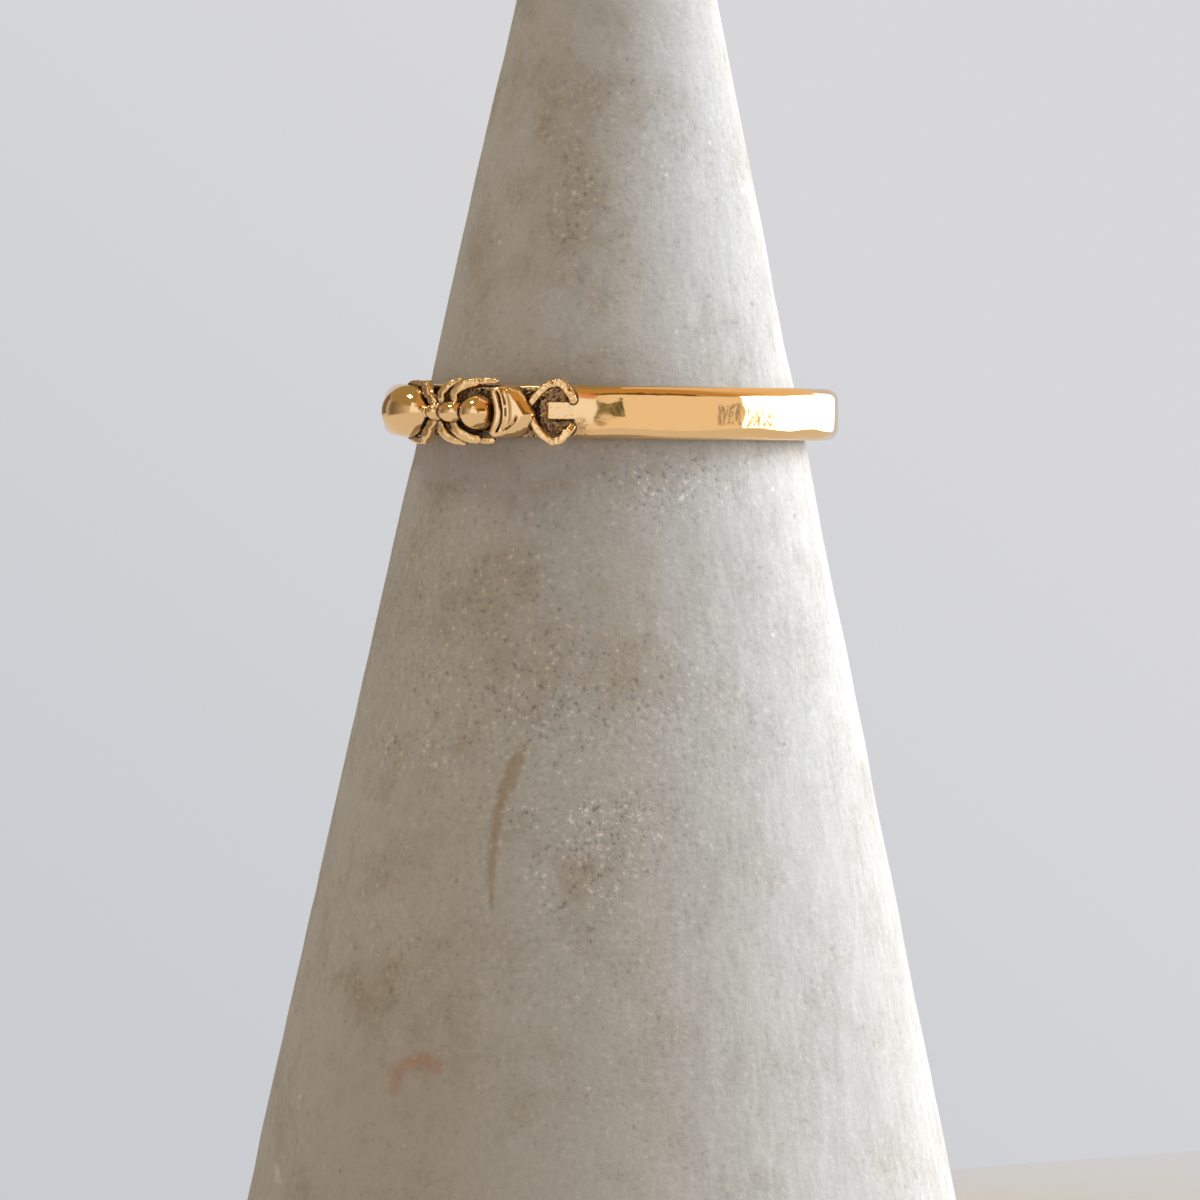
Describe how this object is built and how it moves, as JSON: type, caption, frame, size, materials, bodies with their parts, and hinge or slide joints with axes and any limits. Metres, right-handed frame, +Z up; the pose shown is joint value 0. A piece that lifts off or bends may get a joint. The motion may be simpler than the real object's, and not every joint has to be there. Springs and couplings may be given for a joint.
{
  "type": "stackable ring on a ring cone",
  "caption": "Finger ring with an ant cast in relief on its plain band, resting part-way down a plain tapered ring cone with a flat base.",
  "frame": {"origin": "centre of the cone's flat base, on the surface it stands on", "axes": "+Z up the cone's axis; -Y is the front; the ant is on the ring's front left, its head towards the front"},
  "size_m": [0.0378, 0.0378, 0.0843],
  "materials": {
    "ring_metal": "polished yellow bronze with dark patina left in the recesses of the relief",
    "cone_cement": "matt cast cement, finely pored, with brown stains"
  },
  "bodies": {
    "root": {"ring": "ring_metal", "ring_cone": "cone_cement"}
  },
  "joints": []
}
